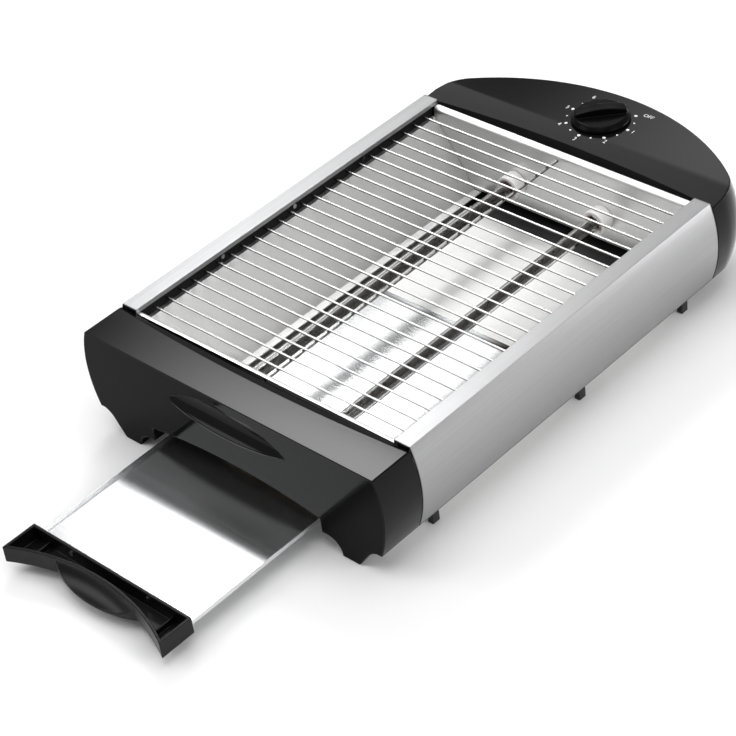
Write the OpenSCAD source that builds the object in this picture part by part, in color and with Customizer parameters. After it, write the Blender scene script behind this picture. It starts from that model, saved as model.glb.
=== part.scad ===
// Flat toaster: a low open heating chamber under a wire grille, with a moulded cap at each end,
// swelled steel side panels, two quartz heaters, a clockwork timer and a slide-out crumb tray.
// X runs across, Y runs from the tray end to the timer end, Z is up from the table.

/* [Housing] */
// Width across the flat top
housing_w = 220; // [190:1:250]
// Length of the steel side panels
panel_l = 264; // [240:1:300]
// Height of the panels' top edge above the table
top_z = 70.5; // [66:0.5:80]
// Height of the housing's lower edge above the table
skirt_z = 15.5; // [14:0.5:18]
// How far the sides swell out past the top edge
bulge = 5.3; // [3:0.1:8]
// Depth of the cap at the tray end
front_cap_d = 30; // [26:1:40]
// Depth of the cap at the timer end
rear_cap_d = 66.5; // [60:0.5:75]
// Plan radius of the timer end
rear_r = 160; // [150:1:200]
// Plan radius of the timer end's two corners
corner_r = 30; // [20:1:40]
// Wall of the moulded caps
cap_wall = 2.5; // [2:0.1:3]
// How far the caps' flat tops lie below the panels' top edge
cap_drop = 1.5; // [0.5:0.1:2]
// Gap where two fixed pieces meet
seam = 0.2; // [0.1:0.05:0.3]

/* [Cap tops] */
// Depth of the dished band beside the chamber
dish_depth = 3; // [2:0.1:4]
// Width of the dished band's slope
dish_run = 8; // [6:0.5:10]
// Distance from panel end to the dished band's edge, in the middle
ridge_mid = 7; // [6:0.5:9]
// The same distance at the sides
ridge_side = 2.5; // [1.5:0.5:4]
// Distance from panel end to the fold of the timer end's top
fold_y = 21; // [18:1:24]
// How far the top falls from that fold to the dished band
fold_fall = 1.2; // [0.5:0.1:2]

/* [Front face] */
// Half width of the tray slot
slot_half = 65.5; // [64:0.5:70]
// Height of the slot at its sides
slot_side_z = 19.5; // [19:0.5:22]
// Rise of the slot's arched top in the middle
slot_rise = 5.8; // [3:0.1:8]
// Inner corner of each moulded foot, from the middle
foot_in = 79.6; // [77:0.1:82]
// Width of each moulded foot at the table
foot_w = 12.4; // [10:0.1:14]
// Radius between slot and foot
foot_r = 10; // [8:0.5:11]
// Depth of the moulded feet
foot_d = 12; // [9:0.5:14]
// Lean of the feet's outer edge from upright
foot_lean = 36; // [20:1:45]
// Radius between the feet's outer edge and the skirt
foot_round = 12; // [8:0.5:14]
// Half length of the finger grip
grip_half = 47; // [40:1:55]
// Height of the finger grip's two tips
grip_z = 50.8; // [48:0.1:52]
// Rise of the grip's upper edge above its tips
grip_up = 13.6; // [10:0.1:14]
// Fall of the grip's lower edge below its tips
grip_down = 3.6; // [2:0.1:5]
// How far the grip's lip stands out of the face
grip_out = 3.8; // [2:0.1:6]
// How deep the grip is scooped at its upper edge
grip_in = 2; // [1:0.1:2.5]
// Sagitta of the grip's scooped surface
grip_scoop = 2.5; // [1.5:0.1:4]
// Thickness of the grip lip's edge
grip_edge = 0.8; // [0.5:0.1:1.5]
// Inset of the lip's outline from the scoop's
grip_inset = 0.4; // [0.2:0.1:0.8]
// Thickness of the wall behind the grip's deepest place
grip_back = 0.5; // [0.4:0.1:1]

/* [Side panels] */
// Sheet thickness of the panels
panel_t = 0.8; // [0.6:0.1:1.2]
// Width of the flat flange on top
flange_w = 11; // [9:0.5:14]
// Height of the flange's turned-down lip
lip_h = 3; // [2:0.1:4]
// Reach of the caps' tongues into the panels
tongue_l = 6; // [4:0.5:8]
// Thickness of those tongues
tongue_t = 2; // [1.5:0.1:3]
// Height of the tongues' lower edge above the skirt
tongue_up = 8; // [6:0.5:12]
// Depth of the tongues' upper edge below the panels' top edge
tongue_drop = 16; // [14:0.5:20]

/* [Grille] */
// Count of cross wires
wire_n = 24; // [16:1:26]
// Spacing of the cross wires
wire_pitch = 10.26; // [9:0.01:10.5]
// Diameter of the cross wires
wire_d = 1.5; // [1.2:0.1:2]
// Depth of the wires below the panels' top edge
wire_drop = 6; // [5.5:0.1:7]
// Length of the wires' ends outside the rails
wire_out = 2; // [1:0.1:3]
// Diameter of the lengthwise rod under the wires
spine_d = 2; // [1.5:0.1:2.5]
// Length of that rod's ends outside the chamber
spine_out = 3; // [2:0.1:4]
// Sheet thickness of the black wire rails
rail_t = 1.2; // [1:0.1:1.5]
// Width of the rails' top leg
rail_leg = 7; // [5:0.5:8]
// Spacing of the rails' rivets, counted in wires
rivet_step = 6; // [4:1:8]
// Shank diameter of the rivets
rivet_d = 2; // [1.6:0.1:2.4]
// Head diameter of the rivets
rivet_head_d = 3; // [2.6:0.1:3.2]
// Height of the rivets' heads
rivet_head_h = 0.7; // [0.5:0.1:1]
// Height of the rail rivets above the wires
rivet_rise = 1; // [0.8:0.1:1.2]
// Width of the tabs that the rivets hold
tab_w = 6.8; // [5:0.1:7]

/* [Chamber] */
// Sheet thickness of the reflectors
refl_t = 0.6; // [0.4:0.1:0.8]
// Depth of the side reflectors' upper edge below the panels' top edge
refl_drop = 10; // [9:0.5:11]
// Width of the side reflectors' step under the rails
refl_step = 3.9; // [3.4:0.1:6.4]
// Half width between the side reflectors at the bottom
refl_low_half = 70; // [68:0.5:76]
// Width of the side reflectors' bottom lip
refl_lip = 5.5; // [3:0.5:6]
// Distance from chamber end to panel end
end_inset = 5; // [5:0.5:7]
// Height of the end reflectors' lower edge above the table
end_low_z = 16.4; // [16:0.1:18]
// Depth of the end reflectors' rolled top below the panels' top edge
end_drop = 3; // [2:0.1:4]
// Radius of the rolled top
roll_r = 3; // [2:0.1:3.5]
// Flat width behind the rolled top
roll_flat = 1; // [0.5:0.1:1.4]

/* [Heaters] */
// Distance of each heater from the middle
heater_x = 33.7; // [28:0.1:40]
// Height of the heaters above the table
heater_z = 35; // [32:0.5:40]
// Outer diameter of the quartz tubes
tube_d = 9; // [8:0.1:10]
// Wall of the quartz tubes
tube_wall = 0.9; // [0.7:0.1:1]
// Wire diameter of the heating coils
coil_wire = 1.2; // [0.9:0.1:1.4]
// Free space between coil and tube
coil_gap = 0.4; // [0.3:0.1:0.6]
// Distance from ceramic disc to the coil's end
coil_end = 4; // [2:0.5:8]
// Curls in each heating coil
coil_turns = 44; // [20:1:46]
// Diameter of the ceramic holders' discs
ceramic_d = 16; // [15:0.1:20]
// Thickness of the ceramic holders' discs
ceramic_t = 9.6; // [4:0.1:11]
// Diameter of the ceramic holders' necks
neck_d = 12; // [11.5:0.1:14]
// Length of the ceramic holders' necks
neck_l = 7; // [5:0.5:9]
// Diameter of the terminal pins
pin_d = 2.2; // [1.8:0.1:2.6]
// Length of the terminal pins outside the ceramic
pin_out = 7; // [5:0.5:9]
// Length of the terminal pins' heads inside the coil
pin_head_l = 6; // [4.5:0.5:8]
// Height of the strip that joins the heaters
link_h = 8; // [6:0.5:10]
// Thickness of that strip
link_t = 1; // [0.6:0.1:1.5]
// Distance from the ceramics' necks to that strip
link_out = 1; // [0.5:0.1:3]
// Diameter of the insulated leads
lead_d = 3; // [2.4:0.1:4]

/* [Base] */
// Sheet thickness of the floor pan
pan_t = 0.8; // [0.6:0.1:1]
// Height of the floor pan's upper face above the table
pan_z = 10.2; // [9.8:0.1:10.4]
// Distance of the floor pan's sides from the flat top's edge
pan_in = 20; // [18:0.5:26]
// Distance of the floor pan's flanges from the flat top's edge
pan_flange_in = 4; // [3:0.5:6]
// Distance from chamber middle to the floor pan's rear edge
pan_rear = 113; // [100:1:118]
// Gap between floor pan and the caps' tongues
pan_gap = 2; // [1:0.1:3]
// Thickness of the rear base
base_t = 2.5; // [2:0.1:3]
// Height of the rear base's rim
rim_h = 10; // [8:0.5:14]
// Inset of the rear base's tongue from the floor pan's sides
base_in = 4; // [2:0.5:8]
// Distance of the small side feet from the flat top's edge
side_foot_in = 8.8; // [7:0.1:9]
// Length of the small side feet
side_foot_l = 5.6; // [5:0.1:8]
// Width of the small side feet
side_foot_w = 4; // [3.6:0.1:5]
// Distance of the first side feet from the panels' front end
side_foot_front = 20; // [12:1:24]
// Place of the second side feet behind the middle
side_foot_mid = 16; // [0:1:20]
// Distance of the last side feet from the panels' rear end
side_foot_rear = 18; // [18:1:30]
// Diameter of the side feet's pegs
peg_d = 2.6; // [2.4:0.1:3]
// Height of the pegs above the skirt
peg_up = 4; // [2:0.5:6]
// Diameter of the rear feet
rear_foot_d = 16; // [14:0.5:18]
// Thickness of the rear feet above their screws' heads
foot_floor = 2; // [1:0.1:3]
// Distance of the rear screws from the middle
rear_screw_x = 76; // [70:1:80]
// Distance of the rear screws from the panel end
rear_screw_in = 18; // [16:1:22]
// Distance of the front screws from the housing's side
front_screw_x = 13; // [12:0.5:15]
// Distance of the front screws from the panel end
front_screw_in = 9; // [8:0.5:11]
// Shank diameter of the base screws
screw_d = 3; // [2.5:0.1:3.5]
// Head diameter of the base screws
screw_head_d = 6; // [5:0.1:6.5]
// Height of the base screws' heads
screw_head_h = 2.2; // [1.8:0.1:2.4]
// Length of the base screws' threads
screw_l = 12; // [8:0.5:13]
// Wall of the bosses that take the base screws
boss_wall = 2.5; // [2:0.1:3]

/* [Crumb tray] */
// How far the tray is drawn out at rest
tray_out = 117; // [0:1:140]
// Half width of the tray sheet
tray_half = 59.5; // [56:0.5:60]
// Sheet thickness of the tray
tray_t = 0.6; // [0.5:0.1:0.8]
// Height of the tray's upper face above the table
tray_z = 11.2; // [11.2:0.1:11.8]
// Height of the tray's upturned rear lip
tray_lip = 3.4; // [2:0.1:4]
// Height of the tray's upturned sides
tray_side = 2.2; // [1.5:0.1:3]
// Distance from chamber middle to the closed tray's rear edge
tray_rear = 133; // [120:1:136]
// Half width of the tray handle
handle_half = 62; // [60:0.5:62.5]
// Depth of the tray handle at its ends
handle_d = 23.5; // [21:0.5:25]
// Height of the tray handle's lower face above the table
handle_z = 7.7; // [7:0.1:8]
// Height of the tray handle
handle_h = 11; // [10:0.1:11.2]
// Wall of the tray handle
handle_wall = 1.8; // [1.5:0.1:2.2]
// How far the handle's front wall is drawn in, in the middle
handle_sag = 14.8; // [12:0.1:15]
// Plan radius of the handle's flared finger lip
flare_r = 78; // [60:0.5:95]
// How far the finger lip flares out
flare_out = 10.4; // [8:0.1:12]
// Thickness of the finger lip's edge
flare_edge = 1.2; // [0.8:0.1:2]
// Sagitta of the finger lip's scooped surface
flare_scoop = 2; // [1:0.1:3]
// Depth of the finger lip's upper edge below the handle's rim
flare_rim = 0.3; // [0.2:0.1:1.5]
// Distance of the handle's two ribs from the middle
rib_x = 48; // [44:0.5:52]
// Thickness of those ribs
rib_t = 1.2; // [1:0.1:2]
// Distance of the handle's rivets from the middle
tray_rivet_x = 30; // [20:1:40]
// Width of the guides' foot
guide_leg = 6; // [4:0.5:8]
// Distance of the guides' front ends from the panels' ends
guide_in = 4; // [2:0.5:8]
// Running gap between tray and guides
slide_gap = 0.5; // [0.3:0.05:0.8]

/* [Timer] */
// Distance from panel end to the timer's axis
timer_y = 39; // [36:0.5:42]
// Diameter of the knob's skirt
knob_d = 37; // [34:0.5:40]
// Thickness of the knob's skirt
knob_t = 4; // [3:0.1:5]
// Chamfer of the knob's rim
knob_rim = 2.4; // [1:0.1:2.8]
// Radius of the grip bar's domed top
knob_dome = 60; // [45:1:90]
// Height of the knob's grip bar above the skirt
bar_h = 4.7; // [3.5:0.1:8]
// Width of the knob's grip bar
bar_w = 7.6; // [7.2:0.1:10]
// Direction in which the knob points at rest, from the X axis
knob_angle = 45; // [0:1:90]
// Gap under the knob
knob_gap = 0.4; // [0.3:0.05:0.6]
// Diameter of the timer's shaft
shaft_d = 6; // [5:0.1:7]
// Radial running clearance of the shaft
shaft_gap = 0.05; // [0.02:0.01:0.08]
// Wall of the bush around the shaft
bush_wall = 1.2; // [1:0.1:1.5]
// Width of the timer's case
timer_w = 44; // [40:1:48]
// Length of the timer's case
timer_l = 34; // [30:1:38]
// Height of the timer's case
timer_h = 34; // [30:1:36]
// Distance of the timer's two screws from its axis
timer_screw_x = 10.5; // [9:0.1:11.5]
// Shank diameter of the timer's screws
timer_screw_d = 2.5; // [2:0.1:3]
// Head diameter of the timer's screws
timer_head_d = 5; // [4:0.1:5.4]
// Thickness of the timer's screw heads, sunk in the cap
timer_head_h = 1; // [0.8:0.1:1.4]
// Length of the timer's screws in its case
timer_screw_l = 7; // [5:0.5:9]

/* [Mains inlet] */
// Bore of the cord gland
gland_bore = 7.2; // [6:0.1:8]
// Neck diameter of the cord gland
gland_neck = 13; // [12:0.1:14]
// Flange diameter of the cord gland
gland_flange = 18; // [16:0.1:20]
// Thickness of the cord gland's flanges
gland_t = 2; // [1.5:0.1:2.5]
// Width of the terminal block
block_w = 24; // [20:1:28]
// Height of the terminal block
block_h = 14; // [12:1:16]
// Depth of the terminal block
block_d = 16; // [12:1:20]
// Distance of the terminal block in front of the timer's axis
block_in = 4; // [0:0.5:6]
// Diameter of the terminal block's sockets
socket_d = 4; // [3:0.1:5]
// Depth of those sockets
socket_l = 3; // [2:0.5:6]

/* [Fits] */
// Widening of holes around loosely held pieces
loose_fit = 0.4; // [0.3:0.05:0.6]
// Widening of holes around closely held pieces
close_fit = 0.1; // [0.05:0.05:0.2]
// Widening of holes around wires and pegs
wire_fit = 0.2; // [0.1:0.05:0.4]
// Widening of holes for the base screws' shanks
shank_fit = 0.6; // [0.4:0.1:1]
// Widening of holes for screw heads and bush
head_fit = 1; // [0.6:0.1:1.5]
// Widening of the knob's hole around the shaft
knob_fit = 0.04; // [0.02:0.01:0.08]

/* [Hidden] */
$fn = 96;
fine = 360;
eps = 0.01;

half_w = housing_w / 2;
panel_y = panel_l / 2;
mid_z = (top_z + skirt_z) / 2;
bulge_r = (pow((top_z - skirt_z) / 2, 2) + bulge * bulge) / (2 * bulge);
cap_top = top_z - cap_drop;
front_y = -(panel_y + front_cap_d);
rear_y = panel_y + rear_cap_d;
rear_cy = rear_y - rear_r;
corner_x = half_w - corner_r;
corner_y = rear_cy + sqrt(pow(rear_r - corner_r, 2) - corner_x * corner_x);
ridge_sag = ridge_mid - ridge_side;
ridge_r = (half_w * half_w + ridge_sag * ridge_sag) / (2 * ridge_sag);

flange_in = half_w - flange_w;
rail_x = flange_in + panel_t + seam;
rail_end = panel_y - end_inset;
wire_z = top_z - wire_drop;
wire_half = rail_x + rail_t + wire_out;
spine_z = wire_z - wire_d / 2 - spine_d / 2 - eps;
refl_top = top_z - refl_drop;
refl_low = skirt_z - refl_t / 2;
rivet_z = wire_z + rivet_rise;
refl_out = rail_x + rail_t + seam;
refl_top_half = refl_out - refl_step;

end_y = panel_y - end_inset;
end_top = top_z - end_drop;
tube_half = end_y - seam - refl_t;
disc_y = end_y - seam - ceramic_t;
coil_r = tube_d / 2 - tube_wall - coil_gap - coil_wire / 2;
coil_half = disc_y - coil_end;

pan_flange_z = skirt_z - pan_t;
pan_half = half_w - pan_in;
pan_flange_half = half_w - pan_flange_in;
side_foot_x = half_w - side_foot_in;
front_boss = [half_w - front_screw_x, -(panel_y + front_screw_in)];
rear_screw_y = panel_y + rear_screw_in;
boss_r = screw_d / 2 + boss_wall;

handle_y = front_y - tray_out;
handle_top = handle_z + handle_h;
handle_back = handle_y + handle_d;
handle_r = (handle_half * handle_half + handle_sag * handle_sag) / (2 * handle_sag);
handle_mid = handle_y + handle_sag;
tray_end = tray_rear - tray_out;

axis_y = panel_y + timer_y;
knob_z = cap_top + knob_gap;
knob_top = knob_z + knob_t + bar_h;
timer_top = cap_top - cap_wall - seam;
bush_d = shaft_d + 2 * bush_wall;
gland_y = rear_y + bulge;

rest_shift = -(handle_y + gland_y + gland_t) / 2;

plastic = "#1c1c1d";
steel = "#b9bbbe";
bright = "#e3e3e1";

// Moves the toaster so that the origin is under the middle of its whole rest length
module placed() {
    translate([0, rest_shift, 0]) children();
}

// Extrudes a profile drawn in X and Z from one Y to another
module along_y(from, to) {
    translate([0, to, 0]) rotate([90, 0, 0]) linear_extrude(to - from) children();
}

// Extrudes a profile drawn in Y and Z from one X to another
module along_x(from, to) {
    translate([from, 0, 0]) rotate([90, 0, 90]) linear_extrude(to - from) children();
}

module both_sides() {
    children();
    mirror([1, 0, 0]) children();
}

// Half section of the swelled housing, from an axis out to a face that is inset from the outside
module swell(base, low, high, inset = 0) {
    core = base + bulge - bulge_r;
    intersection() {
        translate([0, low]) square([base + bulge, high - low]);
        union() {
            translate([core, mid_z]) circle(bulge_r - inset);
            if (core > 0) translate([0, low]) square([core, high - low]);
        }
    }
}

module housing_section(low, high, inset = 0) {
    swell(half_w, low, high, inset);
    mirror([1, 0]) swell(half_w, low, high, inset);
}

// Timer end: straight sides, two round corners and a long arc, all swelled alike
module rear_body(from, low, high, inset = 0) {
    reach = rear_y + bulge + 1;
    spread = (reach - rear_cy) * corner_x / (corner_y - rear_cy);
    intersection() {
        union() {
            along_y(0, corner_y) housing_section(low, high, inset);
            for (side = [-1, 1])
                translate([side * corner_x, corner_y, 0])
                    rotate_extrude() swell(corner_r, low, high, inset);
            intersection() {
                translate([0, rear_cy, 0]) rotate_extrude($fn = fine) swell(rear_r, low, high, inset);
                translate([0, 0, low - 1]) linear_extrude(high - low + 2)
                    polygon([[0, rear_cy], [spread, reach], [-spread, reach]]);
            }
        }
        translate([-housing_w, from, low - 1]) cube([2 * housing_w, reach, high - low + 2]);
    }
}

// Cuts the dished band of a cap at the timer end; mirror it for the tray end
module dish_cut(ridge_z) {
    over = 1 + ridge_z / dish_depth;
    translate([0, panel_y + ridge_mid - ridge_r, ridge_z - dish_depth])
        cylinder(h = dish_depth * over, r1 = ridge_r - dish_run, r2 = ridge_r + dish_run * (over - 1),
            $fn = 2 * fine);
}

// Tongues that hold a cap inside the ends of the side panels
module tongues(from, to) {
    low = skirt_z + tongue_up;
    high = top_z - tongue_drop;
    inset = panel_t + seam;
    along_y(from, to) difference() {
        housing_section(low, high, inset);
        translate([0, -eps]) housing_section(low - 1, high + 1, inset + tongue_t);
    }
}

// Outline of the finger grip on the face, from two arcs that meet at its tips
module grip_outline(grow = 0) {
    up_r = (grip_half * grip_half + grip_up * grip_up) / (2 * grip_up);
    down_r = (grip_half * grip_half + grip_down * grip_down) / (2 * grip_down);
    intersection() {
        translate([0, grip_z + grip_up - up_r]) circle(up_r + grow, $fn = fine);
        translate([0, grip_z - grip_down + down_r]) circle(down_r + grow, $fn = 2 * fine);
    }
}

// Radius and centre of a hollow curve from one point to another, given its sagitta
function hollow_r(start, finish, sag) = (pow(norm(finish - start), 2) / 4 + sag * sag) / (2 * sag);
function hollow_centre(start, finish, sag) = let (chord = finish - start)
    (start + finish) / 2
    + (hollow_r(start, finish, sag) - sag) / norm(chord) * [chord[1], -chord[0]];

// Round tool along X that scoops from one point in Y and Z to another, with the given sagitta
module scoop(half_l, start, finish, sag) {
    centre = hollow_centre(start, finish, sag);
    translate([-half_l, centre[0], centre[1]]) rotate([0, 90, 0])
        cylinder(h = 2 * half_l, r = hollow_r(start, finish, sag));
}

module grip_lip() {
    out_r = (grip_half * grip_half + grip_out * grip_out) / (2 * grip_out);
    intersection() {
        along_y(front_y - grip_out, front_y + cap_wall) grip_outline(-grip_inset);
        translate([0, front_y - grip_out + out_r, grip_z - grip_up])
            cylinder(h = 3 * grip_up, r = out_r, $fn = 2 * fine);
    }
}

module grip_scoop_cut() {
    low_z = grip_z - grip_down + grip_edge;
    intersection() {
        along_y(front_y - 2 * grip_out, front_y + grip_in + grip_scoop) grip_outline();
        scoop(grip_half, [front_y + grip_in, grip_z + grip_up], [front_y - grip_out, low_z],
            grip_scoop);
    }
}

// Outline of a moulded foot: round to the slot inside, a leaning edge and a round outside
module foot_outline() {
    toe = foot_in + foot_w;
    dip = 0.3;
    round_z = skirt_z + dip - foot_round;
    round_x = toe + (foot_round + round_z * sin(foot_lean)) / cos(foot_lean);
    outer = round_x - sqrt(dip * (2 * foot_round - dip)) - 2 * dip;
    difference() {
        translate([slot_half - 1, 0]) square([outer - slot_half + 1, skirt_z + cap_wall]);
        translate([foot_in - foot_r, 0]) circle(foot_r);
        translate([0, -1]) square([foot_in - foot_r, foot_r + 1]);
        translate([round_x, round_z]) circle(foot_round);
        polygon([[toe - tan(foot_lean), -1], [round_x, -1], [round_x, round_z],
            [round_x - foot_round * cos(foot_lean), round_z + foot_round * sin(foot_lean)]]);
    }
}

module slot_outline() {
    arch_r = (slot_half * slot_half + slot_rise * slot_rise) / (2 * slot_rise);
    translate([-slot_half, -1]) square([2 * slot_half, slot_side_z + 1]);
    intersection() {
        translate([0, slot_side_z + slot_rise - arch_r]) circle(arch_r, $fn = fine);
        translate([-slot_half, 0]) square([2 * slot_half, slot_side_z + slot_rise]);
    }
}

module screw_boss(low, high) {
    difference() {
        translate([0, 0, low]) cylinder(h = high - low, r = boss_r);
        translate([0, 0, low - 1]) cylinder(h = screw_l + 2, d = screw_d);
    }
}

module front_cap() {
    step_y = -(panel_y + ridge_mid + cap_wall);
    back_y = -(panel_y + seam);
    ceiling = cap_top - cap_wall;
    placed() color(plastic) {
        difference() {
            union() {
                difference() {
                    along_y(front_y, back_y) housing_section(skirt_z, cap_top);
                    along_y(front_y + cap_wall, step_y + eps)
                        housing_section(skirt_z - 1, ceiling, cap_wall);
                    along_y(step_y, back_y + 1)
                        housing_section(skirt_z - 1, ceiling - dish_depth, cap_wall);
                }
                both_sides() along_y(front_y, front_y + foot_d) foot_outline();
                along_y(front_y + cap_wall - eps, front_y + cap_wall + grip_in + grip_back)
                    grip_outline(cap_wall);
                grip_lip();
                tongues(back_y - cap_wall, tongue_l - panel_y);
            }
            along_y(front_y - 1, front_y + foot_d + 1) slot_outline();
            mirror([0, 1, 0]) dish_cut(cap_top);
            grip_scoop_cut();
        }
        both_sides() translate(front_boss) screw_boss(skirt_z + seam, ceiling - dish_depth + eps);
    }
}

module rear_cap() {
    start_y = panel_y + seam;
    step_y = panel_y + ridge_mid + cap_wall;
    ceiling = cap_top - cap_wall;
    fold_angle = atan2(fold_fall, fold_y - ridge_mid);
    placed() color(plastic) {
        difference() {
            union() {
                difference() {
                    rear_body(start_y, skirt_z, cap_top);
                    rear_body(step_y, skirt_z - 1, ceiling, cap_wall);
                    rear_body(start_y - 1, skirt_z - 1, ceiling - dish_depth - fold_fall, cap_wall);
                }
                tongues(panel_y - tongue_l, start_y + cap_wall);
            }
            translate([-housing_w, panel_y + fold_y, cap_top]) rotate([fold_angle, 0, 0])
                translate([0, -2 * fold_y, 0]) cube([2 * housing_w, 2 * fold_y, 2 * fold_y]);
            dish_cut(cap_top - fold_fall);
            translate([0, axis_y, ceiling - 1]) cylinder(h = cap_wall + 2, d = bush_d + head_fit);
            for (side = [-1, 1]) translate([side * timer_screw_x, axis_y, 0]) {
                translate([0, 0, ceiling - 1]) cylinder(h = cap_wall + 2, d = timer_screw_d + loose_fit);
                translate([0, 0, cap_top - timer_head_h])
                    cylinder(h = cap_wall, d = timer_head_d + loose_fit);
            }
            translate([0, rear_y - gland_neck, mid_z]) rotate([-90, 0, 0])
                cylinder(h = 2 * gland_neck, d = gland_neck + loose_fit);
        }
        both_sides() translate([rear_screw_x, rear_screw_y, 0]) screw_boss(pan_z + seam, ceiling + eps);
    }
}

// Shallow black tray that closes the timer end from below, with two feet and a tongue to the pan
module rear_base() {
    inset = cap_wall + seam;
    low = pan_z - base_t;
    rim_z = pan_z + rim_h;
    // the rim follows the skirt inside the cap; the plate below it is drawn in to clear the skirt
    placed() color("#161617") difference() {
        union() {
            difference() {
                rear_body(panel_y + tongue_l, skirt_z, rim_z, inset);
                rear_body(panel_y, skirt_z - 1, rim_z + 1, inset + base_t);
            }
            difference() {
                rear_body(panel_y + tongue_l, low, skirt_z + eps, inset);
                rear_body(panel_y, pan_z, skirt_z + 1, inset + base_t);
            }
            translate([base_in - pan_half, pan_rear + seam, low])
                cube([2 * (pan_half - base_in), panel_y + tongue_l - pan_rear, base_t]);
            both_sides() translate([rear_screw_x, rear_screw_y, 0])
                cylinder(h = low + eps, d = rear_foot_d);
        }
        both_sides() translate([rear_screw_x, rear_screw_y, -1]) {
            cylinder(h = pan_z + 2, d = screw_d + shank_fit);
            cylinder(h = low - foot_floor + 1, d = screw_head_d + head_fit);
        }
    }
}

module floor_pan() {
    flange_l = panel_y - tongue_l - pan_gap;
    front_end = panel_y - pan_gap;
    placed() color(bright) difference() {
        union() {
            along_y(-front_end, pan_rear) both_sides() {
                translate([0, pan_z - pan_t]) square([pan_half, pan_t]);
                translate([pan_half - pan_t, pan_z - pan_t]) square([pan_t, skirt_z - pan_z + pan_t]);
            }
            both_sides() translate([pan_half - pan_t, front_boss[1] - boss_r - 1, pan_flange_z])
                cube([pan_flange_half - pan_half + pan_t, flange_l - front_boss[1] + boss_r, pan_t]);
        }
        both_sides() {
            translate([front_boss[0], front_boss[1], pan_flange_z - 1])
                cylinder(h = pan_t + 2, d = screw_d + shank_fit);
            for (y = side_foot_places)
                translate([side_foot_x, y, pan_flange_z - 1]) cylinder(h = pan_t + 2, d = peg_d + wire_fit);
        }
    }
}

side_foot_places = [side_foot_front - panel_y, side_foot_mid, panel_y - side_foot_rear];

module side_panel() {
    lip_z = top_z - lip_h;
    difference() {
        along_y(-panel_y, panel_y) difference() {
            intersection() {
                swell(half_w, skirt_z, top_z);
                translate([flange_in, 0]) square([half_w, top_z + 1]);
            }
            intersection() {
                swell(half_w, skirt_z + panel_t, top_z - panel_t, panel_t);
                translate([flange_in + panel_t, 0]) square([half_w, top_z]);
            }
            translate([flange_in - 1, skirt_z + panel_t])
                square([panel_t + 1 + eps, lip_z - skirt_z - panel_t]);
        }
        for (y = side_foot_places)
            translate([side_foot_x, y, skirt_z - 1]) cylinder(h = panel_t + 2, d = peg_d + wire_fit);
    }
}

module left_side_panel() {
    placed() color(steel) mirror([1, 0, 0]) side_panel();
}

module right_side_panel() {
    placed() color(steel) side_panel();
}

rivet_places = [for (k = [-1, 0, 1]) k * rivet_step * wire_pitch];

// Folded bright sheet: tabs and edge on the rail, a step, the slope and a bottom lip
module side_reflector() {
    rise = refl_top - refl_low;
    shift = refl_t * norm([refl_top_half - refl_low_half, rise]) / rise;
    edge_z = wire_z - wire_d - refl_t;
    difference() {
        union() {
            along_y(seam - end_y, end_y - seam) polygon([
                [refl_low_half - refl_lip, refl_low], [refl_low_half + shift, refl_low],
                [refl_top_half + shift, refl_top - refl_t], [refl_out + refl_t, refl_top - refl_t],
                [refl_out + refl_t, edge_z], [refl_out, edge_z], [refl_out, refl_top],
                [refl_top_half, refl_top], [refl_low_half, refl_low + refl_t],
                [refl_low_half - refl_lip, refl_low + refl_t]]);
            for (y = rivet_places)
                translate([refl_out, y - tab_w / 2, edge_z - eps])
                    cube([refl_t, tab_w, rivet_z + rivet_head_d / 2 - edge_z]);
        }
        for (y = rivet_places)
            translate([refl_out - 1, y, rivet_z]) rotate([0, 90, 0])
                cylinder(h = refl_t + 2, d = rivet_d + close_fit);
    }
}

module left_reflector() {
    placed() color(bright) mirror([1, 0, 0]) side_reflector();
}

module right_reflector() {
    placed() color(bright) side_reflector();
}

// Upright end sheet with a rolled top, holes for the ceramics and for the grille's rod
module end_reflector() {
    top_half = flange_in - seam;
    low_half = refl_low_half + (refl_out - refl_top_half);
    wall_top = end_top - roll_r;
    difference() {
        union() {
            along_y(end_y, end_y + refl_t) polygon([
                [-low_half, end_low_z], [low_half, end_low_z], [top_half, refl_top],
                [top_half, wall_top], [-top_half, wall_top], [-top_half, refl_top]]);
            along_x(-top_half, top_half) {
                intersection() {
                    translate([end_y + roll_r, wall_top]) difference() {
                        circle(roll_r);
                        circle(roll_r - refl_t);
                    }
                    translate([end_y, wall_top - eps]) square([roll_r + eps, roll_r + eps]);
                }
                translate([end_y + roll_r, end_top - refl_t])
                    square([roll_flat, refl_t]);
            }
        }
        for (side = [-1, 1])
            translate([side * heater_x, end_y - 1, heater_z]) rotate([-90, 0, 0])
                cylinder(h = refl_t + 2, d = neck_d + loose_fit);
        translate([0, end_y - 1, spine_z]) rotate([-90, 0, 0])
            cylinder(h = refl_t + 2, d = spine_d + loose_fit);
    }
}

module front_reflector() {
    placed() color(bright) mirror([0, 1, 0]) end_reflector();
}

module rear_reflector() {
    placed() color(bright) end_reflector();
}

wire_places = [for (k = [0 : wire_n - 1]) (k - (wire_n - 1) / 2) * wire_pitch];

// Black angle under the flange, with a hole for each wire
module wire_rail() {
    leg_top = top_z - panel_t - seam;
    difference() {
        union() {
            translate([rail_x, -rail_end, refl_top + seam])
                cube([rail_t, 2 * rail_end, leg_top - refl_top - seam]);
            translate([rail_x, -rail_end, leg_top - rail_t]) cube([rail_leg, 2 * rail_end, rail_t]);
        }
        for (y = wire_places)
            translate([rail_x - 1, y, wire_z]) rotate([0, 90, 0])
                cylinder(h = rail_t + 2, d = wire_d + wire_fit, $fn = 24);
        for (y = rivet_places)
            translate([rail_x - 1, y, rivet_z]) rotate([0, 90, 0])
                cylinder(h = rail_t + 2, d = rivet_d + close_fit, $fn = 24);
    }
}

module left_wire_rail() {
    placed() color("#141414") mirror([1, 0, 0]) wire_rail();
}

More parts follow.
